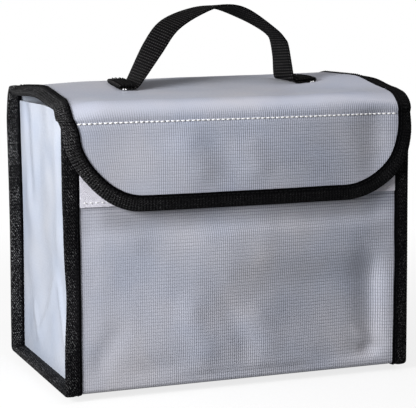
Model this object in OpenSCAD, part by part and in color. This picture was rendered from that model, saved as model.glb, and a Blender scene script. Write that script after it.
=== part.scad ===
// Soft-sided safety bag for rechargeable battery packs: a sewn fabric box with
// taped side seams, a hinged lid with a hook-and-loop front flap, and a webbing
// handle. Origin: centre of the base, on the ground. +Z up, the flap faces -Y.

/* [Bag] */
// Width over the side tapes
bag_w = 220; // [190:5:260]
// Depth of the body
bag_d = 132; // [120:2:160]
// Height of the lid above the ground
bag_h = 173; // [165:1:200]
// Height of the side panels and of the front panel
mouth_h = 163; // [155:1:163]
// Outside radius of the two bottom folds
base_fold_r = 6; // [5:0.5:10]
// Outside radius of the fold behind the lid
rear_fold_r = 12; // [9:0.5:14]
// Outside radius of the fold between lid and flap
front_fold_r = 13; // [11:0.5:14]

/* [Cloth] */
// Thickness of the outer cloth
shell_t = 0.8; // [0.6:0.1:1]
// Thickness of the inner lining
lining_t = 0.8; // [0.6:0.1:1]
// Thickness of the binding tape
tape_t = 0.8; // [0.6:0.1:1]
// Width of the binding tape that shows on each face
tape_w = 9.5; // [8:0.5:12]

/* [Closure] */
// Height of the loop strip's lower edge above the ground
loop_low = 110; // [100:1:115]
// Height of the loop strip
loop_h = 50; // [40:5:50]
// Thickness of the loop strip
loop_t = 1.2; // [0.8:0.1:1.4]
// Thickness of the hook strip
hook_t = 1.5; // [1:0.1:1.6]
// Height of the flap's lower edge above the ground
flap_low = 106.5; // [100:0.5:115]
// Radius of the flap's two lower corners
flap_corner_r = 46; // [30:1:50]
// Height of the seam that holds the hook strip to the flap
flap_seam_z = 158; // [150:1:159]

/* [Handle] */
// Width of the webbing
strap_w = 25; // [20:1:30]
// Thickness of the webbing
strap_t = 1.6; // [1.2:0.1:2]
// Clear span between the two sewn ends
arch_span = 103; // [90:1:120]
// Rise of the arch above the lid
arch_rise = 51; // [40:1:60]
// Length of each sewn end
tab_len = 13; // [10:1:20]
// Distance of the handle's middle from the bag's middle
handle_shift = 5.5; // [0:0.5:8]
// Height above the lid at which the webbing twists
twist_h = 9; // [8.5:0.5:12]
// Angle the handle leans each way
handle_lean = 60; // [45:5:60]

/* [Hidden] */
$fn = 96;

cloth_grey = [0.68, 0.69, 0.75];
side_pale = [0.82, 0.84, 0.9];
lining_grey = [0.74, 0.76, 0.8];
tape_black = [0.06, 0.06, 0.07];
loop_white = [0.9, 0.89, 0.94];
thread_white = [0.93, 0.93, 0.95];
thread_black = [0.12, 0.12, 0.13];

half_w = bag_w / 2;
half_d = bag_d / 2;
cloth_half_w = half_w - tape_t;      // raw edge of every cloth panel, inside the tape
side_in = half_w - tape_w + 0.3;     // inner face of a side panel
side_out = side_in + shell_t;        // outer face of a side panel
lining_half_w = side_in - lining_t;
strip_gap = 0.3;                     // air between the hook strip and the loop strip
hinge_gap = 0.3;                     // air between two bodies where a fold is cut
thread_r = 0.25;                     // how far a thread stands out of the cloth
thread_w = 0.6;

// Every sheet is a layer, at a depth below the outside of the binding tape.
shell_at = tape_t;
lining_at = shell_at + shell_t;
inner_tape_at = lining_at + lining_t;
inside_at = inner_tape_at + tape_t;

// The flap hangs far enough forward for both strips to fit behind it.
loop_front = -half_d + shell_at - loop_t;
flap_front = loop_front - strip_gap - hook_t - inner_tape_at;
rear_centre = [half_d - rear_fold_r, bag_h - rear_fold_r];
front_centre = [flap_front + front_fold_r, bag_h - front_fold_r];
far = 400;                           // larger than the bag, for cutting shapes

lid_top = bag_h - shell_at;          // the cloth's upper face
twist_z = lid_top + twist_h;
wedge_rise = strap_w / 2 * tan(handle_lean / 2);

// Turns a side profile, drawn as (depth, height), into a solid from x0 to x1.
module across(x0, x1) {
    translate([x0, 0, 0]) rotate([90, 0, 90]) linear_extrude(x1 - x0) children();
}

// Turns a front outline, drawn as (width, height), into a solid from y0 to y1.
module through(y0, y1) {
    translate([0, y1, 0]) rotate([90, 0, 0]) linear_extrude(y1 - y0) children();
}

// The bag's side profile at a given depth below the tape, with the front at y0.
module profile(y0, at, low_r, top_r) {
    y_front = y0 + at;
    y_back = half_d - at;
    z_low = at;
    z_top = bag_h - at;
    low = low_r - at;
    top = top_r - at;
    rear = rear_fold_r - at;
    translate([y_front, z_low + low]) square([y_back - y_front, z_top - z_low - low - top]);
    translate([y_front + low, z_low]) square([y_back - y_front - 2 * low, low * 2]);
    translate([y_front + top, z_top - 2 * top])
        square([y_back - y_front - top - rear, 2 * top]);
    translate([y_back - rear * 2, z_top - top - rear])
        square([rear * 2, top]);
    for (y = [y_front + low, y_back - low]) translate([y, z_low + low]) circle(low);
    translate([y_front + top, z_top - top]) circle(top);
    translate([y_back - rear, z_top - rear]) circle(rear);
}

module body_profile(at) { profile(-half_d, at, base_fold_r, front_fold_r); }

module lid_profile(at) { profile(flap_front, at, base_fold_r, front_fold_r); }

// One layer of the body's wrap, between two depths.
module body_layer(a, b) { difference() { body_profile(a); body_profile(b); } }

module lid_layer(a, b) { difference() { lid_profile(a); lid_profile(b); } }

// Everything on the body's side of the fold behind the lid, and below the mouth.
module body_side() {
    cut_low = rear_centre[1] - rear_centre[0] - hinge_gap;
    polygon([
        [-far, -far], [far, -far], [far, far + cut_low],
        [mouth_h - cut_low, mouth_h], [-far, mouth_h]
    ]);
}

// Everything above both folds' cuts.
module lid_side() {
    polygon([
        [rear_centre[0], rear_centre[1]], [rear_centre[0] + far, rear_centre[1] + far],
        [front_centre[0] - far, front_centre[1] + far], [front_centre[0], front_centre[1]]
    ]);
}

// The rounded stretch of the flap, between its flat part and the lid.
module flap_fold_side() {
    polygon([
        [front_centre[0], front_centre[1]], [front_centre[0] - far, front_centre[1]],
        [front_centre[0] - far, front_centre[1] + far - hinge_gap * 1.5],
        [front_centre[0] - hinge_gap * 1.5, front_centre[1]]
    ]);
}

module front_side() { translate([-far, -far]) square([far - half_d + base_fold_r, far * 2]); }

module rear_side() { translate([half_d - base_fold_r, -far]) square([far, far * 2]); }

module base_side() {
    translate([-half_d + base_fold_r, -far]) square([bag_d - 2 * base_fold_r, far + mouth_h / 2]);
}

// Cloth and lining of the body

module wrap_sheet(a, b, half) {
    across(-half, half) intersection() { body_layer(a, b); body_side(); children(); }
}

module front_panel() { color(cloth_grey) wrap_sheet(shell_at, lining_at, cloth_half_w) front_side(); }

// The base sags level with the tapes, so that the bag stands on it.
module bottom_panel() {
    color(cloth_grey) {
        wrap_sheet(shell_at, lining_at, cloth_half_w) base_side();
        translate([-half_w + tape_w + 0.1, -half_d + base_fold_r, 0])
            cube([bag_w - 2 * tape_w - 0.2, bag_d - 2 * base_fold_r, shell_at + 0.1]);
    }
}

module back_panel() { color(cloth_grey) wrap_sheet(shell_at, lining_at, cloth_half_w) rear_side(); }

module front_lining() {
    color(lining_grey) wrap_sheet(lining_at, inner_tape_at, lining_half_w) front_side();
}

module bottom_lining() {
    color(lining_grey) wrap_sheet(lining_at, inner_tape_at, lining_half_w) base_side();
}

module back_lining() {
    color(lining_grey) wrap_sheet(lining_at, inner_tape_at, lining_half_w) rear_side();
}

// A flat end panel, with a seam allowance turned outwards along three edges.
module side_panel() {
    across(side_in, side_out) intersection() { body_profile(lining_at); body_side(); }
    across(side_out, cloth_half_w)
        intersection() { body_layer(lining_at, inner_tape_at); body_side(); }
}

module side_lining() {
    across(lining_half_w, side_in) intersection() { body_profile(lining_at); body_side(); }
}

module right_side_panel() { color(side_pale) side_panel(); }

module left_side_panel() { color(side_pale) mirror([1, 0, 0]) side_panel(); }

module right_side_lining() { color(lining_grey) side_lining(); }

module left_side_lining() { color(lining_grey) mirror([1, 0, 0]) side_lining(); }

// Binding tape, folded over the raw edges

module side_binding() {
    across(half_w - tape_w, half_w) intersection() { body_layer(0, shell_at); body_side(); }
    across(cloth_half_w, half_w) intersection() { body_layer(0, inside_at); body_side(); }
    across(side_out, half_w)
        intersection() { body_layer(inner_tape_at, inside_at); body_side(); }
}

module right_side_binding() { color(tape_black) side_binding(); }

module left_side_binding() { color(tape_black) mirror([1, 0, 0]) side_binding(); }

// The tape's seam, down the front and down the back.
module side_stitching() {
    seam_x = half_w - tape_w + 1.5;
    across(seam_x, seam_x + thread_w) intersection() {
        body_layer(-thread_r, 0);
        translate([-far, base_fold_r]) square([far * 2, mouth_h - 2 * base_fold_r]);
    }
}

module right_side_stitching() { color(thread_black) side_stitching(); }

module left_side_stitching() { color(thread_black) mirror([1, 0, 0]) side_stitching(); }

module lid_binding() {
    across(half_w - tape_w, half_w) intersection() { lid_layer(0, shell_at); lid_side(); }
    across(cloth_half_w, half_w) intersection() { lid_layer(0, inside_at); lid_side(); }
    across(half_w - tape_w, half_w)
        intersection() { lid_layer(inner_tape_at, inside_at); lid_side(); }
}

module right_lid_binding() { color(tape_black) lid_binding(); }

module left_lid_binding() { color(tape_black) mirror([1, 0, 0]) lid_binding(); }

module lid_stitching() {
    seam_x = half_w - tape_w + 1.5;
    across(seam_x, seam_x + thread_w) intersection() {
        lid_layer(-thread_r, 0);
        translate([front_centre[0], 0]) square([rear_centre[0] - front_centre[0], far]);
    }
}

module right_lid_stitching() { color(thread_black) lid_stitching(); }

module left_lid_stitching() { color(thread_black) mirror([1, 0, 0]) lid_stitching(); }

// Lid

module lid_panel() {
    color(cloth_grey) across(-cloth_half_w, cloth_half_w)
        intersection() { lid_layer(shell_at, lining_at); lid_side(); }
}

module lid_lining() {
    color(lining_grey) across(-cloth_half_w, cloth_half_w)
        intersection() { lid_layer(lining_at, inner_tape_at); lid_side(); }
}

// Flap

// The flap's outline, drawn in by a distance from its taped edge.
module flap_outline(inset) {
    half = half_w - inset;
    low = flap_low + inset;
    r = flap_corner_r - inset;
    corner_x = half_w - flap_corner_r;
    corner_z = flap_low + flap_corner_r;
    translate([-half, corner_z]) square([half * 2, front_centre[1] - corner_z]);
    translate([-corner_x, low]) square([corner_x * 2, r]);
    for (side = [-1, 1]) translate([side * corner_x, corner_z]) circle(r);
}

module flap_flat(a, b, inset) {
    through(flap_front + a, flap_front + b) intersection() {
        flap_outline(inset);
        translate([-far, 0]) square([far * 2, front_centre[1]]);
    }
}

module flap_fold(a, b, x0, x1) {
    across(x0, x1) intersection() { lid_layer(a, b); flap_fold_side(); }
}

module flap_sheet(a, b) {
    flap_flat(a, b, tape_t);
    flap_fold(a, b, -cloth_half_w, cloth_half_w);
}

module flap_panel() { color(cloth_grey) flap_sheet(shell_at, lining_at); }

module flap_lining() { color(lining_grey) flap_sheet(lining_at, inner_tape_at); }

module flap_binding() {
    color(tape_black) {
        difference() {
            flap_flat(0, inside_at, 0);
            flap_flat(shell_at, inner_tape_at, tape_t);
            flap_flat(-1, inside_at + 1, tape_w);
        }
        for (side = [0, 1]) mirror([side, 0, 0]) {
            flap_fold(0, shell_at, half_w - tape_w, half_w);
            flap_fold(0, inside_at, cloth_half_w, half_w);
            flap_fold(inner_tape_at, inside_at, half_w - tape_w, half_w);
        }
    }
}

module flap_binding_stitching() {
    color(thread_black) difference() {
        flap_flat(-thread_r, 0, tape_w - 1.5 - thread_w);
        flap_flat(-1, 1, tape_w - 1.5);
    }
}

// Hook-and-loop closure

module loop_strip() {
    half = half_w - tape_w - 0.2;
    color(loop_white) translate([-half, loop_front, loop_low]) cube([half * 2, loop_t, loop_h]);
}

module hook_strip() {
    y0 = flap_front + inner_tape_at;
    color(loop_white) through(y0, y0 + hook_t) intersection() {
        flap_outline(tape_w + 0.3);
        translate([-far, 0]) square([far * 2, flap_seam_z + 1]);
    }
}

// A straight seam of raised stitches on a face that looks towards -Y.
module seam(half, y, z) {
    pitch = 3;
    translate([-half, y - thread_r / 2, z]) cube([half * 2, thread_r / 2, thread_w]);
    for (x = [-half : pitch : half - pitch])
        translate([x, y - thread_r, z]) cube([pitch * 0.7, thread_r, thread_w]);
}

module loop_strip_stitching() {
    color(thread_white) seam(half_w - tape_w - 2, loop_front, loop_low + 2.5);
}

module hook_strip_stitching() {
    color(thread_white) seam(half_w - tape_w - 1, flap_front + shell_at, flap_seam_z);
}

// Handle

// A point on a cubic curve, and the direction of travel there.
function curve(p, t) = pow(1 - t, 3) * p[0] + 3 * t * pow(1 - t, 2) * p[1]
    + 3 * pow(t, 2) * (1 - t) * p[2] + pow(t, 3) * p[3];
function travel(p, t) = pow(1 - t, 2) * (p[1] - p[0]) + 2 * t * (1 - t) * (p[2] - p[1])
    + pow(t, 2) * (p[3] - p[2]);
function unit(v) = v / norm(v);
function shifted(p, t, d) = curve(p, t) + d * [-unit(travel(p, t))[1], unit(travel(p, t))[0]];

arch_left = handle_shift - arch_span / 2;
arch_right = handle_shift + arch_span / 2;
crown = [handle_shift + arch_span * 0.08, lid_top + arch_rise - strap_t / 2];
rising = [
    [arch_left, lid_top], [arch_left + arch_span * 0.1, lid_top + arch_rise * 0.43],
    [arch_left + arch_span * 0.14, crown[1]], crown
];
falling = [
    crown, [crown[0] + arch_span * 0.21, crown[1]],
    [arch_right - arch_span * 0.01, lid_top + arch_rise * 0.63], [arch_right, lid_top]
];
steps = 20;

// The webbing's arch, from one end to the other, as a band of constant thickness.
module arch() {
    half_t = strap_t / 2;
    upper = concat(
        [for (i = [0 : steps]) shifted(rising, i / steps, half_t)],
        [for (i = [1 : steps]) shifted(falling, i / steps, half_t)]
    );
    lower = concat(
        [for (i = [0 : steps]) shifted(rising, i / steps, -half_t)],
        [for (i = [1 : steps]) shifted(falling, i / steps, -half_t)]
    );
    through(-strap_w / 2, strap_w / 2) intersection() {
        polygon(concat(upper, [for (i = [len(lower) - 1 : -1 : 0]) lower[i]]));
        translate([-far, lid_top]) square([far * 2, far]);
    }
}

// The webbing narrows where it twists: the arch above that line, its ends below it.
module above_twist() {
    polygon([
        [0, twist_z + 0.1], [strap_w, twist_z + 0.1 + 2 * wedge_rise],
        [strap_w, twist_z + far], [-strap_w, twist_z + far],
        [-strap_w, twist_z + 0.1 + 2 * wedge_rise]
    ]);
}

module below_twist() {
    polygon([
        [0, twist_z - 0.1], [strap_w, twist_z - 0.1 - 2 * wedge_rise],
        [strap_w, 0], [-strap_w, 0], [-strap_w, twist_z - 0.1 - 2 * wedge_rise]
    ]);
}

module handle_strap() {
    color(tape_black) intersection() { arch(); across(-half_w, half_w) above_twist(); }
}

// A sewn end: the webbing turned under on itself, with the foot of the arch rising from it.
module handle_tab(outer_x, foot_x) {
    x0 = min(outer_x, foot_x);
    translate([x0, -strap_w / 2, lid_top]) cube([abs(outer_x - foot_x), strap_w, strap_t]);
    intersection() {
        arch();
        across(min(0, foot_x * 2), max(0, foot_x * 2)) below_twist();
    }
}

module left_handle_tab() {
    color(tape_black) handle_tab(arch_left - tab_len, arch_left + strap_t / 2);
}

module right_handle_tab() {
    color(tape_black) handle_tab(arch_right + tab_len, arch_right - strap_t / 2);
}

// A box of thread that holds a sewn end down.
module tab_stitching(x0, x1) {
    size = [x1 - x0, strap_w - 4];
    translate([x0, -size[1] / 2, lid_top + strap_t]) difference() {
        cube([size[0], size[1], thread_r]);
        translate([thread_w, thread_w, -1])
            cube([size[0] - 2 * thread_w, size[1] - 2 * thread_w, 3]);
    }
}

module left_tab_stitching() {
    color(thread_black) tab_stitching(arch_left - tab_len + 2, arch_left - 2);
}

module right_tab_stitching() {
    color(thread_black) tab_stitching(arch_right + 2, arch_right + tab_len - 2);
}

front_panel();
bottom_panel();
back_panel();
left_side_panel();
right_side_panel();
front_lining();
bottom_lining();
back_lining();
left_side_lining();
right_side_lining();
left_side_binding();
right_side_binding();
left_side_stitching();
right_side_stitching();
loop_strip();
loop_strip_stitching();
lid_panel();
lid_lining();
left_lid_binding();
right_lid_binding();
left_lid_stitching();
right_lid_stitching();
left_handle_tab();
right_handle_tab();
left_tab_stitching();
right_tab_stitching();
flap_panel();
flap_lining();
flap_binding();
flap_binding_stitching();
hook_strip();
hook_strip_stitching();
handle_strap();
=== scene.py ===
import math

import bmesh
import bpy
import numpy as np
from mathutils import Matrix, Vector


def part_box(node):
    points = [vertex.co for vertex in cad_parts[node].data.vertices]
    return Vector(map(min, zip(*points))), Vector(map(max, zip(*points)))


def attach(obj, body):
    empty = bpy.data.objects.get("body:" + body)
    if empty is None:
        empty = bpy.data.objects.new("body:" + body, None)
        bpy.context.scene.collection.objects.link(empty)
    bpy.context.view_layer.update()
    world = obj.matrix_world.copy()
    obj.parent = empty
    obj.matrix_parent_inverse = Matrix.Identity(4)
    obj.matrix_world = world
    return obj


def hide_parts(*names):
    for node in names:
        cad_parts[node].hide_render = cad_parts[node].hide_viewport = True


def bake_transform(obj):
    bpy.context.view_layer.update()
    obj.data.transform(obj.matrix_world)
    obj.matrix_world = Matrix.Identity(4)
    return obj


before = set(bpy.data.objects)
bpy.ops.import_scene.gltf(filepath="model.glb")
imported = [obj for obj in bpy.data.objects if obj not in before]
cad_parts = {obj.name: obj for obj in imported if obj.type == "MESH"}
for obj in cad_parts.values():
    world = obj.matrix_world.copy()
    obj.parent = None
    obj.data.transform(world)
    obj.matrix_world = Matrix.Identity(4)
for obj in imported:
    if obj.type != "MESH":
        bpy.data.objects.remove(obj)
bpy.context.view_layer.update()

# Lengths in this script are millimetres; new_piece() turns them into metres.
MM = 1000.0


def low(node):
    return np.array(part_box(node)[0]) * MM


def high(node):
    return np.array(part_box(node)[1]) * MM


# Places taken from the frame

half_w = high("right_side_binding")[0]
half_d = high("right_side_binding")[1]
tape_w = half_w - low("right_lid_binding")[0]
seam_x = half_w - tape_w
bag_top = high("right_lid_binding")[2]
lid_cloth_top = high("lid_panel")[2]
mouth_z = high("front_panel")[2]
flap_front = low("flap_binding")[1]
flap_low = low("flap_binding")[2]
side_x = low("right_side_panel")[0]
strip_low = low("loop_strip")
strip_high = high("loop_strip")
hook_high = high("hook_strip")
flap_seam_z = low("hook_strip_stitching")[2]
tab_left = low("left_handle_tab")
tab_right = high("right_handle_tab")
strap_half = high("handle_strap")[1]

# Sizes chosen here

cloth_t = 0.8
tape_t = 0.8
tape_stack = 4 * tape_t  # tape, cloth, lining and tape again
lining_t = 0.7
lining_depth = tape_t + cloth_t + 0.05  # below the tape's face
loop_t = 1.2
hook_t = 1.35
strap_t = 1.5
base_r = 3.5
rear_r = 9.0
front_r = 13.0
corner_r = 46.0
rib_pitch = 1.8  # of the handle webbing
tape_rib = 1.9
tab_len = 13.0
right_tab_extra = 2.4  # the right foot of the handle is longer than the left one
split_y = 50.0  # where the body's sheet meets the lid's sheet
bend_z = 150.0  # the end tapes are cut in two at this height
cloth_columns = 181  # of points across the cloth


def smooth(a, b, x):
    t = np.clip((np.asarray(x, float) - a) / (b - a), 0, 1)
    return t * t * (3 - 2 * t)


def hump(centre, reach, x):
    """1 at centre, falling smoothly to 0 at reach on either side."""
    return 1 - smooth(0, 1, np.abs((np.asarray(x, float) - centre) / reach))


def clouds(a, b, size, seed, count=9):
    """Soft irregular waves over a surface, between about -1 and 1."""
    rng = np.random.default_rng(seed)
    total = 0
    for _ in range(count):
        turn, phase = rng.uniform(0, 2 * math.pi, 2)
        k = 2 * math.pi / (size * rng.uniform(0.7, 1.6))
        total = total + np.cos(k * (a * math.cos(turn) + b * math.sin(turn)) + phase)
    return total / math.sqrt(count)


def distances(points):
    """The distance of each point along a line of points."""
    return np.concatenate([[0], np.cumsum(np.linalg.norm(np.diff(points, axis=0), axis=1))])


def resample(points, n):
    """The same line with n evenly spaced points."""
    run = distances(points)
    at = np.linspace(0, run[-1], n)
    return np.stack([np.interp(at, run, points[:, i]) for i in range(points.shape[1])], -1)


def even(points, step):
    return resample(points, int(distances(points)[-1] / step))


def crease(a, b, start, end, width):
    """A ridge of height 1 along a line, with soft ends."""
    (a0, b0), (a1, b1) = start, end
    length = math.hypot(a1 - a0, b1 - b0)
    ta, tb = (a1 - a0) / length, (b1 - b0) / length
    along = (a - a0) * ta + (b - b0) * tb
    across = (a - a0) * -tb + (b - b0) * ta
    ends = smooth(-0.1 * length, 0.3 * length, along) * smooth(1.1 * length, 0.7 * length, along)
    return np.exp(-(across / width) ** 2) * ends


# Sheets


class Sheet:
    """Cloth with one side profile, addressed by x, the distance s along the profile and the height h off it."""

    def __init__(self, corners, radii, relief, flange, shift):
        self.points = rounded(corners, radii)
        self.s = distances(self.points)
        self.length = self.s[-1]
        tangent = np.gradient(self.points, self.s, axis=0)
        tangent /= np.linalg.norm(tangent, axis=1)[:, None]
        self.normal = np.stack([tangent[:, 1], -tangent[:, 0]], 1)
        self.relief, self.flange, self.shift = relief, flange, shift

    def at(self, s):
        y, z = (np.interp(s, self.s, self.points[:, i]) for i in (0, 1))
        ny, nz = (np.interp(s, self.s, self.normal[:, i]) for i in (0, 1))
        return y, z, ny, nz

    def find(self, y=None, z=None, after=0.0, before=None):
        """The distance along the profile where it is nearest to a depth or a height."""
        inside = (self.s >= after) & (self.s <= (self.length if before is None else before))
        gap = 0
        if y is not None:
            gap = gap + np.abs(self.points[inside, 0] - y)
        if z is not None:
            gap = gap + np.abs(self.points[inside, 1] - z)
        return float(self.s[inside][np.argmin(gap)])

    def place(self, x, s, h):
        """Points in space, h being the height off the outside of the tape."""
        x, s, h = np.broadcast_arrays(*(np.asarray(v, float) for v in (x, s, h)))
        y, z, ny, nz = self.at(s)
        side = np.where(x < 0, -1.0, 1.0)
        past = np.abs(x) - seam_x
        middle = -tape_stack / 2
        turn = np.radians(self.flange(side, y, z)) * smooth(0, 4, past)
        cos, sin = np.cos(turn), np.sin(turn)
        out = past * cos - (h - middle) * sin
        up = middle + past * sin + (h - middle) * cos + self.relief(x, y, z)
        points = np.stack([side * (seam_x + out), y + ny * up, z + nz * up], -1)
        return points + self.shift(x, y, z)


def rounded(corners, radii, step=0.4):
    """A polyline through corners, its inner corners rounded with arcs."""
    corners = [np.array(c, float) for c in corners]
    out = [corners[0]]
    for before, corner, after, r in zip(corners, corners[1:], corners[2:], radii):
        a = (before - corner) / np.linalg.norm(before - corner)
        b = (after - corner) / np.linalg.norm(after - corner)
        half = math.acos(float(a @ b)) / 2
        bisector = (a + b) / np.linalg.norm(a + b)
        centre = corner + bisector * r / math.sin(half)
        start = corner + a * r / math.tan(half) - centre
        sweep = math.pi - 2 * half
        sweep *= 1 if a[0] * b[1] - a[1] * b[0] < 0 else -1
        for t in np.linspace(0, sweep, max(6, int(abs(sweep) * r / step))):
            c, s = math.cos(t), math.sin(t)
            out.append(centre + np.array([c * start[0] - s * start[1], s * start[0] + c * start[1]]))
    out.append(corners[-1])
    points = [out[0]]
    for p, q in zip(out, out[1:]):
        n = max(1, int(np.linalg.norm(q - p) / step))
        points += [p + (q - p) * (i + 1) / n for i in range(n)]
    return np.array(points)


# How the cloth really lies


def lid_rise(x, y):
    """How far the lid stands above flat: crowned at the rear, lower where the handle weighs on it."""
    crest = 4.4 + 1.6 * x / half_w - 1.4 * smooth(-60, -105, x) * smooth(5, 45, y)
    fall = 8 - np.where(x < 0, 28, 37) * np.minimum(1, np.abs(x) / seam_x) ** 2
    crown = crest * smooth(66, 36, y) * smooth(-26, 22, y - fall)
    front = (2.0 - 1.6 * smooth(20, 100, x)) * smooth(5, -50, y)
    front = front + 2.4 * smooth(60, 108, x) * smooth(-48, -66, y)
    corner = 2.6 * smooth(-80, -102, x) * smooth(-44, -66, y)
    tab = (2.4 * smooth(-16, 12, y) + 0.5) * np.exp(-((x - 69) / 15) ** 2 - ((y - 4) / 18) ** 2)
    return crown - front - corner - tab


def front_relief(x, z):
    """The front panel bulges, is hollow to the right, creased near its base and tight at its seams."""
    inside = smooth(seam_x + 1, seam_x - 14, np.abs(x)) * smooth(1, 12, z)
    belly = 3.0 * np.maximum(0, 1 - (x / 96) ** 2) * smooth(106, 82, z) * smooth(-30, 86, z)
    near = -50 + 65 * smooth(46, 16, z)
    hollow = -4.4 * smooth(near, 86, x) * smooth(110, 84, x)
    hollow = hollow * smooth(-60, 50, z) * smooth(79, 55, z + 0.02 * x)
    top = 1.6 * hump(8, 108, x) * hump(112, 28, z)
    top = top - (0.8 + 0.8 * smooth(-90, -10, x)) * hump(97.5, 9, z)
    soft = 0.6 * clouds(x, z * 1.2, 84, 3) + 0.06 * clouds(x * 1.4, z, 30, 8)
    folds = (
        -0.5 * crease(x, z, (-16, 56), (6, 8), 6)
        + 1.0 * crease(x, z, (-38, 54), (-20, 10), 9)
        + 0.9 * crease(x, z, (4, 48), (20, 12), 9)
        + 1.5 * crease(x, z, (16, 60), (36, -24), 24)
        - 1.2 * np.exp(-((x + 52) / 20) ** 2 - ((z - 12) / 8) ** 2)
        - 2.0 * crease(x, z, (82, 84), (88, 2), 10)
        + 1.2 * crease(x, z, (72, 26), (100, 6), 4)
        - 1.2 * crease(x, z, (78, 12), (102, 14), 4)
        + 0.8 * crease(x, z, (-96, 104), (-60, 84), 7)
        - 0.6 * crease(x, z, (-72, 44), (-96, 12), 7)
    )
    return (belly + hollow + top + soft + folds) * inside


def body_relief(x, y, z):
    """How far the body's sheet stands off its profile: front, back and base."""
    front = smooth(-58, -62, y) * smooth(4, 9, z)
    rear = smooth(56, 62, y) * smooth(4, 12, z) * smooth(164, 150, z)
    inside = smooth(seam_x, seam_x - 20, np.abs(x))
    back = (0.7 * clouds(x, z, 70, 21) + 0.25 * clouds(x, z, 30, 22)) * inside
    back = back - 3.0 * smooth(70, seam_x, np.abs(x)) * hump(85, 95, z)
    base = smooth(6, 3, z) * hump(0, half_d - 8, y) * 0.4 * clouds(x, y, 50, 31) * inside
    return front_relief(x, z) * front + back * rear - np.abs(base)


def lid_droop(side, y):
    """How far the taped edges of the lid turn down, in degrees: all of the left one, and the right one's rear."""
    left, right = -26, -4 - 20 * smooth(-30, 8, y)
    return np.where(side < 0, left, right) * smooth(63, 42, y)


def body_flange(side, y, z):
    """How far the taped seam turns off the sheet, in degrees: back along the front, down on the lid."""
    rear = 6 * smooth(50, 60, y) * smooth(8, 26, z) * smooth(160, 140, z)
    lid = lid_droop(side, y) * smooth(165, 172, z)
    left = 42 * hump(55, 52, z) + 8 * smooth(96, 120, z)
    front = -np.where(side < 0, left, 4 * hump(80, 70, z)) * smooth(-58, -63, y)
    return rear + lid + front


def body_shift(x, y, z):
    """Movement of the whole body sheet: the lid's crown, and edges that are drawn in."""
    rise = lid_rise(x, y) * smooth(168, 171, z)
    drawn = np.where(x < 0, 1.0 * hump(60, 62, z), 0.4 - 0.6 * smooth(60, 130, z))
    sway = drawn * smooth(90, half_w, np.abs(x)) * smooth(-40, -60, y)
    corner = -1.0 * smooth(-100, -half_w, x) * smooth(150, 170, z) * smooth(54, 64, y)
    return np.stack([sway - corner, 0 * y, rise], -1)


def lid_relief(x, y, z):
    """How far the lid's sheet stands off its profile: folds on the flap, slight waves on the lid."""
    on_flap = smooth(168, 156, z)
    inside = smooth(half_w - 2, half_w - 22, np.abs(x))
    soft = (0.45 * clouds(x, z * 0.6, 80, 41) + 0.05 * clouds(x * 1.3, z, 30, 42)) * inside
    folds = (
        -0.4 * crease(x, z, (-26, 156), (-6, 118), 8)
        + 0.9 * crease(x, z, (-42, 152), (-24, 120), 10)
        + 0.7 * crease(x, z, (-2, 148), (10, 122), 9)
        - 1.9 * crease(x, z, (86, 172), (84, 112), 11)
    ) * inside
    belly = 1.2 * hump(0, 105, x) * hump(136, 34, z) + folds
    seam = -0.5 * np.exp(-(((z - flap_seam_z - 0.3) / 2.2) ** 2))
    lid = (0.25 * clouds(x * 0.6, y * 1.2, 70, 43) + 0.05 * clouds(x, y, 24, 44)) * inside
    return (soft + belly + seam) * on_flap + lid * smooth(160, 170, z) * smooth(52, 40, y)


def lid_flange(side, y, z):
    """How far the taped edge turns off the lid and flap, in degrees."""
    on_lid = smooth(157, 172.5, z)
    flap = np.where(side < 0, -8, -14) * smooth(140, 160, z)
    return lid_droop(side, y) * on_lid + flap * (1 - on_lid)


def lid_shift(x, y, z):
    """The flap's left edge stands out at its top and its lower corner is drawn in."""
    rise = lid_rise(x, y) * smooth(156, 170, z)
    on_flap = smooth(-46, -66, y)
    out = -3.8 * smooth(149, 166, z) + 3.6 * smooth(148, 119, z)
    left = out * smooth(-50, -98, x) * smooth(-38, -68, y)
    right = (1.8 * hump(120, 26, z) - 0.3 * smooth(130, 152, z)) * smooth(60, 104, x) * on_flap
    return np.stack([left + right, 0 * y, rise], -1)


body = Sheet(
    [(-half_d, mouth_z), (-half_d, 0), (half_d, 0), (half_d, bag_top), (split_y, bag_top)],
    [base_r, base_r, rear_r], body_relief, body_flange, body_shift,
)
lid = Sheet(
    [(split_y, bag_top), (flap_front, bag_top), (flap_front, flap_low)],
    [front_r], lid_relief, lid_flange, lid_shift,
)

# Pieces


def new_piece(name, points, quads, uv, material, crease_angle=50):
    """A mesh object from points in millimetres, with a cloth map in millimetres."""
    mesh = bpy.data.meshes.new(name)
    mesh.from_pydata((np.asarray(points) / MM).tolist(), [], np.asarray(quads).tolist())
    corners = np.empty(len(mesh.loops), np.int32)
    mesh.loops.foreach_get("vertex_index", corners)
    layer = mesh.uv_layers.new(name="cloth")
    layer.data.foreach_set("uv", np.asarray(uv, np.float32)[corners].ravel())
    shape = bmesh.new()
    shape.from_mesh(mesh)
    bmesh.ops.recalc_face_normals(shape, faces=shape.faces)
    shape.to_mesh(mesh)
    shape.free()
    mesh.polygons.foreach_set("use_smooth", [True] * len(mesh.polygons))
    mesh.set_sharp_from_angle(angle=math.radians(crease_angle))
    mesh.materials.append(material)
    obj = bpy.data.objects.new(name, mesh)
    bpy.context.scene.collection.objects.link(obj)
    return obj


def grid_quads(rows, cols, closed=False):
    i, j = np.meshgrid(np.arange(rows - 1), np.arange(cols if closed else cols - 1), indexing="ij")
    k = (j + 1) % cols
    return np.stack([i * cols + j, i * cols + k, (i + 1) * cols + k, (i + 1) * cols + j], -1).reshape(-1, 4)


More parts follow.
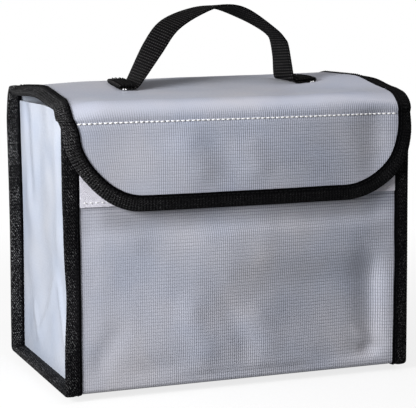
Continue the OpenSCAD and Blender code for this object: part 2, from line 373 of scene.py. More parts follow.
def end_caps(rows, cols):
    """Quads that close both ends of a flat tube."""
    caps = []
    for row in (0, rows - 1):
        ring = row * cols + np.arange(cols)
        caps += [[ring[i], ring[i + 1], ring[cols - 2 - i], ring[cols - 1 - i]] for i in range(cols // 2 - 1)]
    return caps


def two_sided(outer, inner, uv):
    """A closed thin shell from its two faces, given as grids of points."""
    rows, cols = outer.shape[:2]
    n = rows * cols
    quads = grid_quads(rows, cols)
    edge = np.concatenate([
        np.arange(cols), np.arange(2, rows) * cols - 1, n - 1 - np.arange(cols), np.arange(rows - 2, 0, -1) * cols,
    ])
    turn = np.roll(edge, -1)
    rim = np.stack([edge, turn, turn + n, edge + n], -1)
    points = np.concatenate([outer.reshape(-1, 3), inner.reshape(-1, 3)])
    uvs = np.concatenate([uv.reshape(-1, 2)] * 2)
    return points, np.concatenate([quads, quads[:, ::-1] + n, rim]), uvs


def cloth_piece(name, sheet, x, s, depth, thick, material, slot):
    """A stretch of a sheet: x and s are grids, depth is how far it lies below the tape's face."""
    outer = sheet.place(x, s, -depth)
    inner = sheet.place(x, s, -depth - thick)
    points, quads, uv = two_sided(outer, inner, np.stack([x, s], -1))
    return new_piece(name, points, quads, uv, material)


def tape_section():
    """The folded tape's section: (distance in from the edge, height), going round once."""
    half = tape_w * 0.5
    face = [(tape_w, -0.25), (tape_w - 0.9, 0), (tape_w * 0.72, -0.12), (half, 0.12)]
    face += [(tape_w * 0.28, 0.1), (1.2, 0), (0.35, -0.35), (0, -1.0)]
    under = [(a, -tape_stack - h) for a, h in reversed(face)]
    inner_low, inner_top = tape_t - tape_stack, -tape_t
    inner = [(tape_w, inner_low - 0.1), (half, inner_low), (tape_t, inner_low)]
    inner += [(tape_t, inner_top), (half, inner_top), (tape_w, inner_top - 0.05)]
    return np.array(face + under + inner), len(face + under)


def tape_piece(name, sheet, x, s, in_x, in_s, material, start=0.0):
    """Binding tape folded over an edge that runs through (x, s), its inner side along (in_x, in_s)."""
    section, outside = tape_section()
    run = distances(sheet.place(x, s, 0.0)) + start
    rib = 0.2 * np.abs(np.sin(math.pi * run / tape_rib)) ** 0.7
    wander = 0.25 * clouds(run, 0 * run, 40, 5, 4)
    a, h = section[:, 0], section[:, 1]
    middle = -tape_stack / 2
    puffed = np.where(np.arange(len(section)) < outside, 1.0, 0.0) * smooth(0.7 * tape_w, 0.5 * tape_w, a)
    height = h[None, :] + (rib[:, None] * np.sign(h - middle)[None, :]) * puffed[None, :]
    reach = a[None, :] + wander[:, None] * (a > tape_w * 0.85)[None, :]
    points = sheet.place(x[:, None] + in_x[:, None] * reach, s[:, None] + in_s[:, None] * reach, height)
    rows, cols = points.shape[:2]
    quads = grid_quads(rows, cols, closed=True)
    uv = np.stack(np.meshgrid(distances(section), run), -1)
    faces = np.concatenate([quads, end_caps(rows, cols)])
    return new_piece(name, points.reshape(-1, 3), faces, uv.reshape(-1, 2), material, 62)


def stitches(name, points, up, pitch, length, radius, material, sink=0.35):
    """A row of single stitches along a line of points, each a thread that dips at both ends."""
    run = distances(points)
    starts = np.arange(0, run[-1] - length, pitch)
    rings, sides = 7, 8
    t = np.linspace(0, 1, rings)
    verts, quads, uvs = [], [], []
    for start in starts:
        at = start + t * length
        centre = np.stack([np.interp(at, run, points[:, i]) for i in range(3)], -1)
        n = np.stack([np.interp(at, run, up[:, i]) for i in range(3)], -1)
        n /= np.linalg.norm(n, axis=1)[:, None]
        along = np.gradient(centre, axis=0)
        along /= np.linalg.norm(along, axis=1)[:, None]
        across = np.cross(along, n)
        arch = np.sin(math.pi * t) ** 0.6
        wide = radius * (0.45 + 0.55 * np.sin(math.pi * t) ** 0.5)
        base = centre + n * (radius * (arch - sink))[:, None]
        turn = np.linspace(0, 2 * math.pi, sides, endpoint=False)
        ring = (
            base[:, None] + across[:, None] * (np.cos(turn)[None, :, None] * wide[:, None, None])
            + n[:, None] * (np.sin(turn)[None, :, None] * wide[:, None, None] * 0.8)
        )
        first = len(verts) * rings * sides
        verts.append(ring.reshape(-1, 3))
        quads.append(grid_quads(rings, sides, closed=True) + first)
        cap = np.array([[0, 1, 2, 3], [0, 3, 4, 7], [4, 5, 6, 7]])
        quads += [cap + first, cap + first + (rings - 1) * sides]
        uvs.append(np.stack(np.meshgrid(turn, at), -1).reshape(-1, 2))
    return new_piece(name, np.concatenate(verts), np.concatenate(quads), np.concatenate(uvs), material)


def surface_line(sheet, x, s, h):
    """Points on a sheet and the directions that stand off it there."""
    points = sheet.place(x, s, h)
    return points, sheet.place(x, s, h + 0.5) - points


# Materials

row_pitch = 2.0
column_pitch = 1.3
mean_thread = 0.24  # the share of dark thread in the cloth on average


class Look:
    """A node material built up a node at a time."""

    def __init__(self, name, **surface):
        self.mat = bpy.data.materials.new(name)
        self.mat.use_nodes = True
        self.tree = self.mat.node_tree
        self.shader = self.tree.nodes["Principled BSDF"]
        for key, value in surface.items():
            self.put(self.shader.inputs[key.replace("_", " ")], value)

    def put(self, socket, value):
        if isinstance(value, bpy.types.NodeSocket):
            self.tree.links.new(value, socket)
        else:
            socket.default_value = value

    def node(self, kind, values=None, **settings):
        n = self.tree.nodes.new("ShaderNode" + kind)
        for key, value in settings.items():
            setattr(n, key, value)
        for key, value in (values or {}).items():
            self.put(n.inputs[key], value)
        return n

    def maths(self, operation, a, b=0.0, clamp=False):
        return self.node("Math", {0: a, 1: b}, operation=operation, use_clamp=clamp).outputs[0]

    def times(self, a, b):
        return self.maths("MULTIPLY", a, b)

    def plus(self, a, b):
        return self.maths("ADD", a, b)

    def axes(self):
        """The cloth's map as a vector, its distance across and its distance along."""
        uv = self.node("UVMap", uv_map="cloth").outputs[0]
        split = self.node("SeparateXYZ", {0: uv})
        return uv, split.outputs[0], split.outputs[1]

    def line(self, coordinate, pitch, share):
        """1 along lines a pitch apart, falling to 0 at a share of the way to the next."""
        wave = self.maths("FRACT", self.maths("DIVIDE", coordinate, pitch))
        away = self.times(self.maths("ABSOLUTE", self.maths("SUBTRACT", wave, 0.5)), 2.0)
        ramp = self.node("MapRange", {"Value": away, "From Min": 0.0, "From Max": share,
                                      "To Min": 1.0, "To Max": 0.0}, interpolation_type="SMOOTHSTEP")
        return ramp.outputs[0]

    def noise(self, vector, scale, detail=2.0, roughness=0.5):
        return self.node("TexNoise", {"Vector": vector, "Scale": scale, "Detail": detail,
                                      "Roughness": roughness}).outputs[0]

    def spread(self, value, low_value, high_value, to_low=0.0, to_high=1.0):
        return self.node("MapRange", {"Value": value, "From Min": low_value, "From Max": high_value,
                                      "To Min": to_low, "To Max": to_high}).outputs[0]

    def blend(self, factor, a, b, mode="MIX"):
        n = self.node("Mix", data_type="RGBA", blend_type=mode)
        self.put(n.inputs[0], factor)
        self.put(n.inputs[6], a)
        self.put(n.inputs[7], b)
        return n.outputs[2]

    def finish(self, colour, height=None, rough=None, distance=0.0002):
        self.put(self.shader.inputs["Base Color"], colour)
        if rough is not None:
            self.put(self.shader.inputs["Roughness"], rough)
        if height is not None:
            bump = self.node("Bump", {"Height": height, "Distance": distance, "Strength": 1.0})
            self.put(self.shader.inputs["Normal"], bump.outputs[0])
        return self.mat


def coated_cloth(name, pale, dark, row, column, raised, rough, coat=0.2, plain_until=None, rows_and_shade_band=None):
    """Coated glass cloth: rows of raised threads across, finer threads down, and soft patches of painted shade
    that tint it bluish.

    row and column are the strengths of the threads. The cloth is plain up to the distance plain_until. Between the
    two distances given last, the rows get stronger and painted shade darkens the cloth, standing for the shadow
    under the flap's edge."""
    look = Look(name, Sheen_Weight=0.08, Sheen_Roughness=0.4, Coat_Weight=coat, Coat_Roughness=0.3,
                Specular_IOR_Level=0.6)
    uv, u, v = look.axes()
    wobble = look.times(look.noise(uv, 0.1), 0.35)
    rows = look.line(look.plus(v, wobble), row_pitch, 0.5)
    columns = look.line(look.plus(u, wobble), column_pitch, 0.62)
    if plain_until:
        rows = look.times(rows, look.spread(v, plain_until, plain_until + 16, 0.08, 1.0))
        columns = look.times(columns, look.spread(v, plain_until, plain_until + 6, 0.12, 1.0))
    patch = look.spread(look.noise(uv, 0.03, 4.0, 0.6), 0.38, 0.64)
    margin = look.spread(look.maths("ABSOLUTE", u), 66, 98)
    rows_here = look.maths("MAXIMUM", look.spread(patch, 0.0, 1.0, row * 0.35, row), look.times(margin, row))
    columns_here = look.spread(patch, 1.0, 0.0, column * 0.6, column)
    # Under the flap's edge the rows get stronger and the columns fainter.
    if rows_and_shade_band:
        shade_band = look.spread(v, *rows_and_shade_band)
        rows_here = look.maths("MAXIMUM", rows_here, shade_band)
        columns_here = look.times(columns_here, look.spread(shade_band, 0.0, 1.0, 1.0, 0.5))
    across = look.times(look.times(rows, rows_here), look.spread(columns, 0, 1, 0.5, 1.0))
    threads = look.maths("MAXIMUM", across, look.times(columns, columns_here))
    tight = look.spread(u, -95, 0, 0.5, 1.0)
    threads = look.plus(look.times(look.maths("SUBTRACT", threads, mean_thread), tight), mean_thread)
    # Painted shade: the band just under the flap's edge is darkened as if the flap's shadow fell there.
    if rows_and_shade_band:
        threads = look.plus(threads, look.times(shade_band, 0.2))
    fine = look.spread(look.noise(uv, 1.6, 2.0), 0.3, 0.7, -0.1, 0.1)
    colour = look.blend(look.maths("ADD", threads, fine, clamp=True), (*pale, 1), (*dark, 1))
    # Painted shade: soft random patches darken the cloth and tint it bluish, standing in for uneven shading.
    cloud = look.spread(look.noise(uv, 0.016, 3.0, 0.5), 0.35, 0.65)
    tint = look.blend(cloud, (0.83, 0.875, 0.95, 1), (1.0, 0.985, 0.975, 1))
    colour = look.blend(1.0, colour, tint, "MULTIPLY")
    height = look.times(look.plus(look.times(rows, -0.8), look.times(columns, -0.6)), tight)
    roughness = look.spread(look.noise(uv, 0.5, 3.0), 0.3, 0.7, rough - 0.08, rough + 0.1)
    return look.finish(colour, height, roughness, raised)


def black_tape(name, rib_light, fleck_light, glint_from, glint_to, glint_before, glint_after):
    """Grosgrain binding: ribs on all but its inner margin, with painted highlights on the ribs and painted glints
    on flecks of thread.

    The strength of the painted highlights and glints changes between two distances along the tape."""
    look = Look(name, Specular_IOR_Level=0.03)
    uv, u, v = look.axes()
    ribs = look.times(look.line(v, tape_rib, 0.9), look.spread(look.line(u, 1.5, 0.8), 0, 1, 0.3, 1.0))
    slant = look.line(look.plus(u, look.times(v, 0.6)), 1.3, 0.8)
    ribbed = look.times(look.spread(u, 1.8, 3.4), look.spread(u, 19.0, 17.5))
    fleck = look.spread(look.noise(uv, 0.9, 3.0, 0.75), 0.5, 0.62)
    glint_patches = look.spread(look.noise(uv, 0.06, 3.0), 0.38, 0.66)
    catch = look.times(look.times(fleck, slant), look.spread(glint_patches, 0, 1, 0.3, 1.0))
    # Painted highlights on the ribs and painted glints on the flecks, in patches; their strength is set between
    # two distances along the tape.
    lit = look.plus(look.times(ribs, rib_light), look.times(catch, fleck_light))
    lit = look.times(lit, look.spread(v, glint_from, glint_to, glint_before, glint_after))
    colour = look.blend(look.times(lit, ribbed), (0.0015, 0.0015, 0.002, 1), (0.28, 0.28, 0.285, 1))
    height = look.times(look.plus(ribs, look.times(slant, 0.6)), ribbed)
    return look.finish(colour, height, look.spread(ribbed, 0, 1, 0.5, 0.62), 0.00025)


def webbing(name):
    """Ribbed webbing: thick weft ribs crossed by pairs of warp threads."""
    look = Look(name, Specular_IOR_Level=0.04)
    uv, u, v = look.axes()
    ribs = look.line(v, rib_pitch, 0.6)
    warp = look.line(u, 2.6, 0.75)
    weave = look.times(ribs, look.spread(warp, 0, 1, 0.08, 1.0))
    # The ribs are painted lighter than the grooves: a painted highlight, stronger in some patches than others.
    rib_patches = look.spread(look.noise(uv, 0.7, 3.0), 0.4, 0.7)
    shade = look.times(weave, look.spread(rib_patches, 0, 1, 0.35, 1.0))
    colour = look.blend(shade, (0.001, 0.001, 0.0012, 1), (0.085, 0.08, 0.08, 1))
    return look.finish(colour, weave, 0.6, 0.0004)


def loop_tape(name, colour, hooks=False):
    """Napped loop tape, or hook tape with rows of small hooks."""
    look = Look(name, Sheen_Weight=0.3, Sheen_Roughness=0.4, Roughness=0.85)
    uv, u, v = look.axes()
    fuzz = look.noise(uv, 1.5, 4.0, 0.7)
    if hooks:
        dots = look.times(look.line(u, 1.3, 0.6), look.line(v, 1.6, 0.6))
        height = look.plus(dots, look.times(fuzz, 0.3))
        shade = look.maths("SUBTRACT", 1.0, dots)
    else:
        height = fuzz
        shade = look.spread(fuzz, 0.35, 0.65, 1.0, 0.0)
    dark = tuple(c * 0.8 for c in colour)
    mixed = look.blend(look.times(shade, 0.6), (*colour, 1), (*dark, 1))
    return look.finish(mixed, height, None, 0.0006)


def thread(name, colour, shine):
    """Twisted sewing thread."""
    look = Look(name, Sheen_Weight=shine * 0.4, Roughness=0.6, Specular_IOR_Level=shine)
    _, u, v = look.axes()
    twist = look.line(look.plus(v, look.times(u, 0.12)), 0.5, 0.9)
    dark = tuple(c * 0.75 for c in colour)
    return look.finish(look.blend(twist, (*dark, 1), (*colour, 1)), twist, None, 0.0001)


fold_start = split_y - flap_front - front_r
shell_cloth = coated_cloth(
    # On the front, painted shade darkens the band just under the flap's edge, where the flap's shadow falls.
    "shell_cloth", (0.59, 0.595, 0.655), (0.10, 0.105, 0.14), 0.78, 0.82, 0.00014, 0.34,
    rows_and_shade_band=(body.find(z=88, y=-half_d), body.find(z=107, y=-half_d)),
)
lid_shell = coated_cloth(
    "lid_cloth", (0.55, 0.565, 0.64), (0.10, 0.11, 0.15), 0.62, 0.9, 0.00014, 0.42,
    coat=0.06, plain_until=fold_start + 11,
)
# The end panels are the shell's cloth painted darker: painted shade that offsets the strong key lamp on the left
# end. Their threads are fainter.
side_cloth = coated_cloth("side_cloth", (0.475, 0.505, 0.57), (0.41, 0.44, 0.51), 0.05, 0.2, 0.00002, 0.36)
lining_cloth = coated_cloth("lining_cloth", (0.45, 0.465, 0.50), (0.27, 0.28, 0.31), 0.6, 0.6, 0.0001, 0.5)
flap_tape = black_tape("flap_tape", 0.13, 0.6, 165, 215, 1.0, 0.25)
side_tape = black_tape("side_tape", 0.03, 1.4, 150, 300, 0.35, 1.0)
web_black = webbing("webbing")
loop_white = loop_tape("loop_tape", (0.70, 0.69, 0.77))
hook_white = loop_tape("hook_tape", (0.78, 0.78, 0.84), hooks=True)
thread_white = thread("white_thread", (0.97, 0.97, 0.98), 0.5)
thread_black = thread("black_thread", (0.006, 0.006, 0.007), 0.06)


# Cloth of the body


def steps(s0, s1, step):
    return np.linspace(s0, s1, max(2, int((s1 - s0) / step) + 1))


def plain_grid(half, s):
    return np.meshgrid(np.linspace(-half, half, cloth_columns), s)


s_mid_base = body.find(y=0, z=0, after=60, before=body.length - 60)
cloth_half = half_w - tape_t
lining_half = side_x - 0.9
x, s = plain_grid(cloth_half, steps(0, s_mid_base, 1.2))
wrap_front = cloth_piece("front_cloth", body, x, s, tape_t, cloth_t, shell_cloth, "shell_cloth")
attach(wrap_front, "bag")
x, s = plain_grid(cloth_half, steps(s_mid_base, body.length, 1.2))
wrap_back = cloth_piece("back_cloth", body, x, s, tape_t, cloth_t, shell_cloth, "shell_cloth")
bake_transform(wrap_back)
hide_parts("front_panel", "bottom_panel")
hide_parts("back_panel")

lining = (lining_depth, lining_t, lining_cloth, "lining_cloth")
x, s = plain_grid(lining_half, steps(1.0, s_mid_base, 2.5))
front_inner = cloth_piece("front_lining_cloth", body, x, s, *lining)
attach(front_inner, "bag")
x, s = plain_grid(lining_half, steps(s_mid_base, body.length - 6, 2.5))
back_inner = cloth_piece("back_lining_cloth", body, x, s, *lining)
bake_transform(back_inner)
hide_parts("front_lining", "bottom_lining")
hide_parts("back_lining")

# End panels


def end_relief(y, z, seed):
    """An end panel is slightly hollow, with one upright crease and slanted ones near its base."""
    inside = smooth(half_d - 4, half_d - 18, np.abs(y)) * smooth(4, 24, z)
    hollow = -2.0 * hump(0, 62, y) * smooth(0, 60, z)
    upright = (
        1.0 * crease(y, z, (-14, 175), (-20, 60), 8) - 1.0 * crease(y, z, (26, 170), (30, 40), 11)
        - 1.8 * crease(y, z, (52, 170), (38, 96), 6) + 1.3 * crease(y, z, (-42, 172), (-44, 80), 5)
    )
    slanted = (
        1.7 * crease(y, z, (-16, 62), (-48, 8), 5) + 1.5 * crease(y, z, (-16, 62), (34, 6), 5)
        - 1.0 * crease(y, z, (-34, 58), (-52, 44), 3) + 0.8 * crease(y, z, (40, 40), (20, 12), 4)
    )
    soft = 0.6 * clouds(y * 1.6, z * 0.6, 60, seed) + 0.18 * clouds(y, z, 24, seed + 1)
    return (hollow + upright + slanted + soft) * inside


def end_panel(name, side, y_half, offset, thick, material):
    """An end panel or its lining, its outer face offset from the shell's."""
    low_z = 2 * tape_t + 0.8
    y, z = np.meshgrid(np.linspace(-y_half, y_half, 111), np.linspace(low_z, mouth_z, 141))
    if side > 0:  # the right one follows the crown of the lid
        z = z + 9.5 * hump(-3, 59, y) * smooth(110, mouth_z, z)
    over = np.maximum(0, z - (bag_top - rear_r))
    y = np.where(y > 0, y * (1 - 0.02 * smooth(0, 3, over)), y)
    bottom = np.maximum(0, 5.0 - z)
    y = y * (1 - 0.006 * bottom ** 1.5)
    out = end_relief(y, z, 51)
    outer = np.stack([side * (side_x + offset + cloth_t + out), y, z], -1)
    inner = outer - np.array([side * thick, 0, 0])
    points, quads, uv = two_sided(outer, inner, np.stack([y, z], -1))
    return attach(new_piece(name, points, quads, uv, material), "bag")


for side, word in ((-1, "left"), (1, "right")):
    panel = end_panel(word + "_end_cloth", side, half_d - 3.4, 0.0, cloth_t, side_cloth)
    inner = end_panel(word + "_end_lining", side, half_d - 3.6, -0.95, lining_t, lining_cloth)
    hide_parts(word + "_side_panel")
    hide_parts(word + "_side_lining")

# Tape round each end of the body, in two pieces: up to the back's top it rides with the bag, and the rear piece
# above stays where it is

s_bend = body.find(y=half_d, z=bend_z, after=200)
for side, word in ((-1, "left"), (1, "right")):
    for part, s0, s1 in (("side", 0, s_bend), ("rear", s_bend, body.length)):
        s = steps(s0, s1, 0.46)
        edge = np.full_like(s, side * half_w), s
        inward = np.full_like(s, -side), 0 * s
        tape = tape_piece(f"{word}_{part}_tape", body, *edge, *inward, side_tape, start=s0)
        s = s[4:-3]
        line, up = surface_line(body, side * (seam_x + 1.6) + 0 * s, s, 0 * s)
        sewn = stitches(f"{word}_{part}_tape_thread", line, up, 3.0, 2.2, 0.26, thread_black)
        if part == "side":
            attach(tape, "bag")
            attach(sewn, "bag")
            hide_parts(word + "_side_binding")
            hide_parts(word + "_side_stitching")
        else:
            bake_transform(tape)
            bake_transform(sewn)

# Loop strip on the front

s_strip_top = body.find(z=strip_high[2], y=-half_d, before=80)
s_strip_low = body.find(z=strip_low[2], y=-half_d, before=80)
strip_half = seam_x - 0.3
x, s = plain_grid(strip_half, steps(s_strip_top, s_strip_low, 1.2))
front_of_cloth = -tape_t + loop_t
outer = body.place(x, s, front_of_cloth + 0.05 * clouds(x, s, 6, 61) * smooth(0, 2, s - s_strip_top))
inner = body.place(x, s, -tape_t - 0.05)
points, quads, uv = two_sided(outer, inner, np.stack([x, s], -1))
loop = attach(new_piece("loop_tape_strip", points, quads, uv, loop_white), "bag")
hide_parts("loop_strip")
x = np.linspace(-strip_half + 2, strip_half - 2, 400)
line, up = surface_line(body, x, s_strip_low - 2.6 + 0 * x, front_of_cloth + 0 * x)
sewn = stitches("loop_tape_thread", line, up, 3.4, 2.0, 0.3, thread_white)
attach(sewn, "bag")
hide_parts("loop_strip_stitching")

# Lid and flap

corner_z = flap_low + corner_r
corner_x = half_w - corner_r
s_corner = lid.find(z=corner_z, y=flap_front)


def half_width(s, inset):
    """Half the width of the lid's sheet at a distance along it, drawn in from its outline."""
    below = np.clip(s - s_corner, 0, corner_r - inset)
    return np.where(s <= s_corner, half_w - inset, corner_x + np.sqrt((corner_r - inset) ** 2 - below ** 2))


def lid_grid(inset, s0, step):
    s = steps(s0, lid.length - inset - 0.01, step)
    u = np.linspace(-1, 1, cloth_columns)
    return u[None, :] * half_width(s, inset)[:, None], np.repeat(s[:, None], cloth_columns, 1)


x, s = lid_grid(tape_t, 0, 0.9)
lid_cloth = cloth_piece("lid_and_flap_cloth", lid, x, s, tape_t, cloth_t, lid_shell, "shell_cloth")
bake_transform(lid_cloth)
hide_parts("lid_panel", "flap_panel")
x, s = lid_grid(tape_t + 0.4, 4, 2.0)
lid_inner = cloth_piece("lid_and_flap_lining", lid, x, s, *lining)
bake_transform(lid_inner)
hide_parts("lid_lining", "flap_lining")


def flap_edge(inset, step=0.48):
    """The taped edge in the sheet's own coordinates: down one side, round, along and up."""
    r = corner_r - inset
    down = steps(0, s_corner, step)
    turn = np.linspace(0, math.pi / 2, int(r * math.pi / 2 / step))[1:]
    along = np.linspace(-corner_x, corner_x, int(2 * corner_x / step))[1:-1]
    x = np.concatenate([0 * down - half_w + inset, -corner_x - r * np.cos(turn), along])
    s = np.concatenate([down, s_corner + r * np.sin(turn), 0 * along + s_corner + r])
    in_x = np.concatenate([0 * down + 1, np.cos(turn), 0 * along])
    in_s = np.concatenate([0 * down, -np.sin(turn), 0 * along - 1])
    back = slice(None, len(down) + len(turn))
    x = np.concatenate([x, -x[back][::-1]])
    s = np.concatenate([s, s[back][::-1]])
    in_x = np.concatenate([in_x, -in_x[back][::-1]])
    in_s = np.concatenate([in_s, in_s[back][::-1]])
    return x, s, in_x, in_s


tape = tape_piece("lid_and_flap_tape", lid, *flap_edge(0), flap_tape)
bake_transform(tape)
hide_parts("flap_binding", "left_lid_binding", "right_lid_binding")
x, s, _, _ = flap_edge(tape_w - 1.6)
line, up = surface_line(lid, x, s, 0 * s)
sewn = stitches("lid_and_flap_tape_thread", line, up, 3.0, 2.2, 0.28, thread_black)
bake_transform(sewn)
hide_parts("flap_binding_stitching", "left_lid_stitching", "right_lid_stitching")

# Hook strip behind the flap, and its seam

s_hook_top = lid.find(z=hook_high[2], y=flap_front)
x, s = lid_grid(tape_w + 0.3, s_hook_top, 1.5)
cloth_back = -tape_t - 2 * cloth_t
outer = lid.place(x, s, cloth_back)
inner = lid.place(x, s, cloth_back - hook_t - 0.12 * clouds(x, s, 4, 71))
points, quads, uv = two_sided(outer, inner, np.stack([x, s], -1))
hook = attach(new_piece("hook_tape_strip", points, quads, uv, hook_white), "flap")
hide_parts("hook_strip")
s_seam = lid.find(z=flap_seam_z, y=flap_front)
x = np.linspace(-seam_x + 0.5, seam_x - 0.5, 500)
line, up = surface_line(lid, x, s_seam + 0 * x, -tape_t + 0 * x)
sewn = stitches("flap_seam_thread", line, up, 3.1, 2.65, 0.46, thread_white, sink=0.1)
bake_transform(sewn)
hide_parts("hook_strip_stitching")

# Handle

fold_r = 0.56 * strap_t  # of the turn in each end of the webbing


def spline(points, step):
    """A smooth curve through points, evenly sampled."""
    p = np.array(points, float)
    p = np.concatenate([[2 * p[0] - p[1]], p, [2 * p[-1] - p[-2]]])
    t = np.linspace(0, 1, 24, endpoint=False)[:, None]
    out = []
    for a, b, c, d in zip(p, p[1:], p[2:], p[3:]):
        out.append(0.5 * (2 * b + (c - a) * t + (2 * a - 5 * b + 4 * c - d) * t ** 2
                          + (3 * b - a - 3 * c + d) * t ** 3))
    out.append(p[-2:-1])
    return even(np.concatenate(out), step)


def folded_end(outer_x, foot_x):
    """The webbing's end, turned under: out along the lid, round, and back over itself."""
    way = 1 if foot_x > outer_x else -1
    turn = np.linspace(-math.pi / 2, math.pi / 2, 12)
    fold = np.stack([outer_x + way * (fold_r + 0.6 - fold_r * np.cos(turn)), fold_r + fold_r * np.sin(turn)], -1)
    return np.concatenate([[[foot_x - way * 2, 0]], fold, [[foot_x - way * 2.2, 2 * fold_r + 0.1]]])


foot_left, foot_right = tab_left[0] + tab_len, tab_right[0] - tab_len
tab_end = tab_right[0] + right_tab_extra
# The arch's two edges, as (x, height above the lid)
front_arch = [
    (-46, 3), (-32, 21.5), (-20.5, 36.5), (-3, 46.8), (12, 51), (26, 48), (44, 36), (50.3, 29.8), (52.4, 26),
    (54.4, 16), (56.8, 4),
]
rear_arch = [
    (-46, 5.5), (-34.5, 28), (-23, 41.5), (-3, 49), (12, 49), (30, 42.5), (42, 36.6), (48.7, 32), (51, 28),
    (52.8, 18), (54, 5),
]


def strap_edge(arch, y):
    """One edge of the webbing, tab to tab: the tabs lie on the lid, the arch stands free."""
    left, right = folded_end(tab_left[0], foot_left), folded_end(tab_end, foot_right)
    tabs = [even(left, 0.3), even(right[::-1], 0.3)]
    for tab in tabs:
        tab[:, 1] += lid_rise(tab[:, 0], y) + strap_t / 2 + 0.1
    return tabs[0], spline([tabs[0][-1], *arch, tabs[1][0]], 0.3), tabs[1]


def joined(edge, counts):
    """The parts of an edge in one line, each part with the given number of points."""
    parts = [resample(part, n) for part, n in zip(edge, counts)]
    return np.concatenate([parts[0], *(part[1:] for part in parts[1:])])


front_edge = strap_edge(front_arch, -strap_half)
rear_edge = strap_edge(rear_arch, strap_half)
counts = [len(part) for part in front_edge]
front_line, rear_line = joined(front_edge, counts), joined(rear_edge, counts)
rows = len(front_line)
across = np.linspace(-1, 1, 27)
share = (across[None, :] + 1) / 2
flat = front_line[:, None] * (1 - share[..., None]) + rear_line[:, None] * share[..., None]
run = distances((front_line + rear_line) / 2)
slant = np.hypot(*(rear_line - front_line).T)
half_y = np.sqrt(np.maximum(strap_half ** 2 - (slant / 2) ** 2, 1)) - 0.05
half_y = half_y + 0.1 * np.sin(2 * math.pi * run / rib_pitch)
face = np.stack([flat[..., 0], across[None, :] * half_y[:, None], flat[..., 1] + lid_cloth_top], -1)
off = np.cross(np.gradient(face, axis=0), np.gradient(face, axis=1))
off /= np.linalg.norm(off, axis=2)[..., None]
off *= np.sign(off[rows // 2, len(across) // 2, 2])
rib = 0.2 * np.abs(np.sin(math.pi * run / rib_pitch)) ** 0.6
half_t = strap_t / 2 * (1 - 0.35 * np.abs(across) ** 8)[None, :]
half_t = half_t + rib[:, None] * (1 - across ** 6)[None, :] - 0.1
points = np.concatenate([face + off * half_t[..., None], (face - off * half_t[..., None])[:, ::-1]], 1)
cols = points.shape[1]
faces = np.concatenate([grid_quads(rows, cols, closed=True), end_caps(rows, cols)])
loop_u = np.concatenate([across, across[::-1]]) * strap_half
uv = np.stack(np.meshgrid(loop_u, run), -1)
strap = new_piece("handle_webbing", points.reshape(-1, 3), faces, uv.reshape(-1, 2), web_black)
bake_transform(strap)
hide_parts("handle_strap", "left_handle_tab", "right_handle_tab")

tab_top = 4 * fold_r + 0.1  # of the webbing folded in two, above the lid
for word, outer_x, foot_x in (("left", tab_left[0], foot_left), ("right", tab_end, foot_right)):
    way = 1 if foot_x > outer_x else -1
    x0, x1, y1 = outer_x + way * 3, foot_x - way * 3.5, strap_half - 1.8
    box = even(np.array([(x0, -y1), (x1, -y1), (x1, y1), (x0, y1), (x0, -y1)], float), 0.5)
    top = lid_cloth_top + lid_rise(box[:, 0], box[:, 1]) + tab_top
    line = np.stack([box[:, 0], box[:, 1], top], -1)
    up = line * 0 + (0, 0, 1)
    sewn = stitches(word + "_tab_thread", line, up, 2.6, 2.0, 0.35, thread_black, sink=0.7)
    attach(sewn, "lid")
    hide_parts(word + "_tab_stitching")
    x = np.linspace(outer_x + way * 2, outer_x + way * 5, 12)
    line = np.stack([x, 0 * x - strap_half - 0.3, lid_cloth_top + lid_rise(x, -strap_half) + 0.35], -1)
    up = line * 0 + (0, -0.5, 1)
    tack = stitches(word + "_tab_tack", line, up, 1.5, 1.2, 0.4, thread_white, sink=0.0)
    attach(tack, "lid")

# Floor, light and camera

floor = Look("floor", Roughness=0.6)
floor_at = floor.node("TexCoord").outputs["Object"]
grain = floor.spread(floor.noise(floor_at, 4.0, 3.0), 0.3, 0.7, 0.0, 1.0)
floor_mat = floor.finish(floor.blend(grain, (0.93, 0.93, 0.94, 1), (0.95, 0.95, 0.96, 1)))
away = floor.node("VectorMath", {0: floor_at}, operation="LENGTH").outputs["Value"]
to_camera = floor.node("LightPath").outputs["Is Camera Ray"]
glow = floor.node("Emission", {"Color": (1, 1, 1, 1), "Strength": floor.spread(to_camera, 0, 1, 0.16, 1.0)})
fade = floor.node("MixShader", {0: floor.spread(away, 0.1, 0.6, 0.78, 1.0),
                                1: floor.shader.outputs[0], 2: glow.outputs[0]})
floor.tree.links.new(fade.outputs[0], floor.tree.nodes["Material Output"].inputs["Surface"])
bpy.ops.mesh.primitive_plane_add(size=60, location=(0, 0, -0.0036))
ground = bpy.context.object
ground.name = "floor"
ground.data.materials.append(floor_mat)

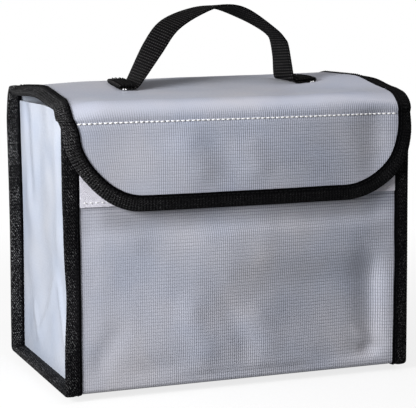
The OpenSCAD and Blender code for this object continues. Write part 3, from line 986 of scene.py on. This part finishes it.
world = bpy.data.worlds.new("studio")
bpy.context.scene.world = world
world.use_nodes = True
sky = world.node_tree
sky.nodes["Background"].inputs[0].default_value = (1, 1, 1, 1)
seen = sky.nodes.new("ShaderNodeLightPath").outputs["Is Camera Ray"]
dim = sky.nodes.new("ShaderNodeMapRange")
sky.links.new(seen, dim.inputs["Value"])
dim.inputs["To Min"].default_value = 0.15
sky.links.new(dim.outputs[0], sky.nodes["Background"].inputs[1])


def lamp(name, at, aim, size, power, tint=(1, 1, 1)):
    """A soft lamp, in metres and watts."""
    data = bpy.data.lights.new(name, "AREA")
    data.shape = "RECTANGLE"
    data.size, data.size_y = size
    data.energy = power
    data.color = tint
    obj = bpy.data.objects.new(name, data)
    obj.location = at
    obj.rotation_euler = (Vector(aim) - Vector(at)).to_track_quat("-Z", "Y").to_euler()
    bpy.context.scene.collection.objects.link(obj)


lamp("key", (-0.62, -0.31, 0.31), (-0.02, 0, 0.09), (0.3, 0.3), 7.6)
lamp("top", (-0.12, -0.55, 1.1), (0, 0, 0.12), (0.3, 0.25), 1.1)
lamp("right", (0.45, -0.25, 0.75), (0, 0, 0.15), (0.3, 0.3), 1.0, (1, 0.94, 0.93))
lamp("above", (0.30, 0.05, 0.8), (0.03, -0.02, 0.17), (0.3, 0.3), 0.5, (1, 0.94, 0.93))
lamp("behind", (-0.6, 1.4, 0.35), (0, 0, 0.09), (0.8, 0.6), 3)

yaw, pitch, roll = math.radians(21.11), math.radians(7.78), math.radians(-0.22)
camera_data = bpy.data.cameras.new("camera")
camera_data.sensor_width = 36
camera_data.lens = 131.3654
camera = bpy.data.objects.new("camera", camera_data)
turned = Matrix.Rotation(-yaw, 4, "Z") @ Matrix.Rotation(math.pi / 2 - pitch, 4, "X")
turned = turned @ Matrix.Rotation(roll, 4, "Z")
camera.matrix_world = Matrix.Translation((-0.3393, -0.8865, 0.2284)) @ turned
bpy.context.scene.collection.objects.link(camera)
bpy.context.scene.camera = camera
bpy.context.scene.view_settings.view_transform = "Standard"
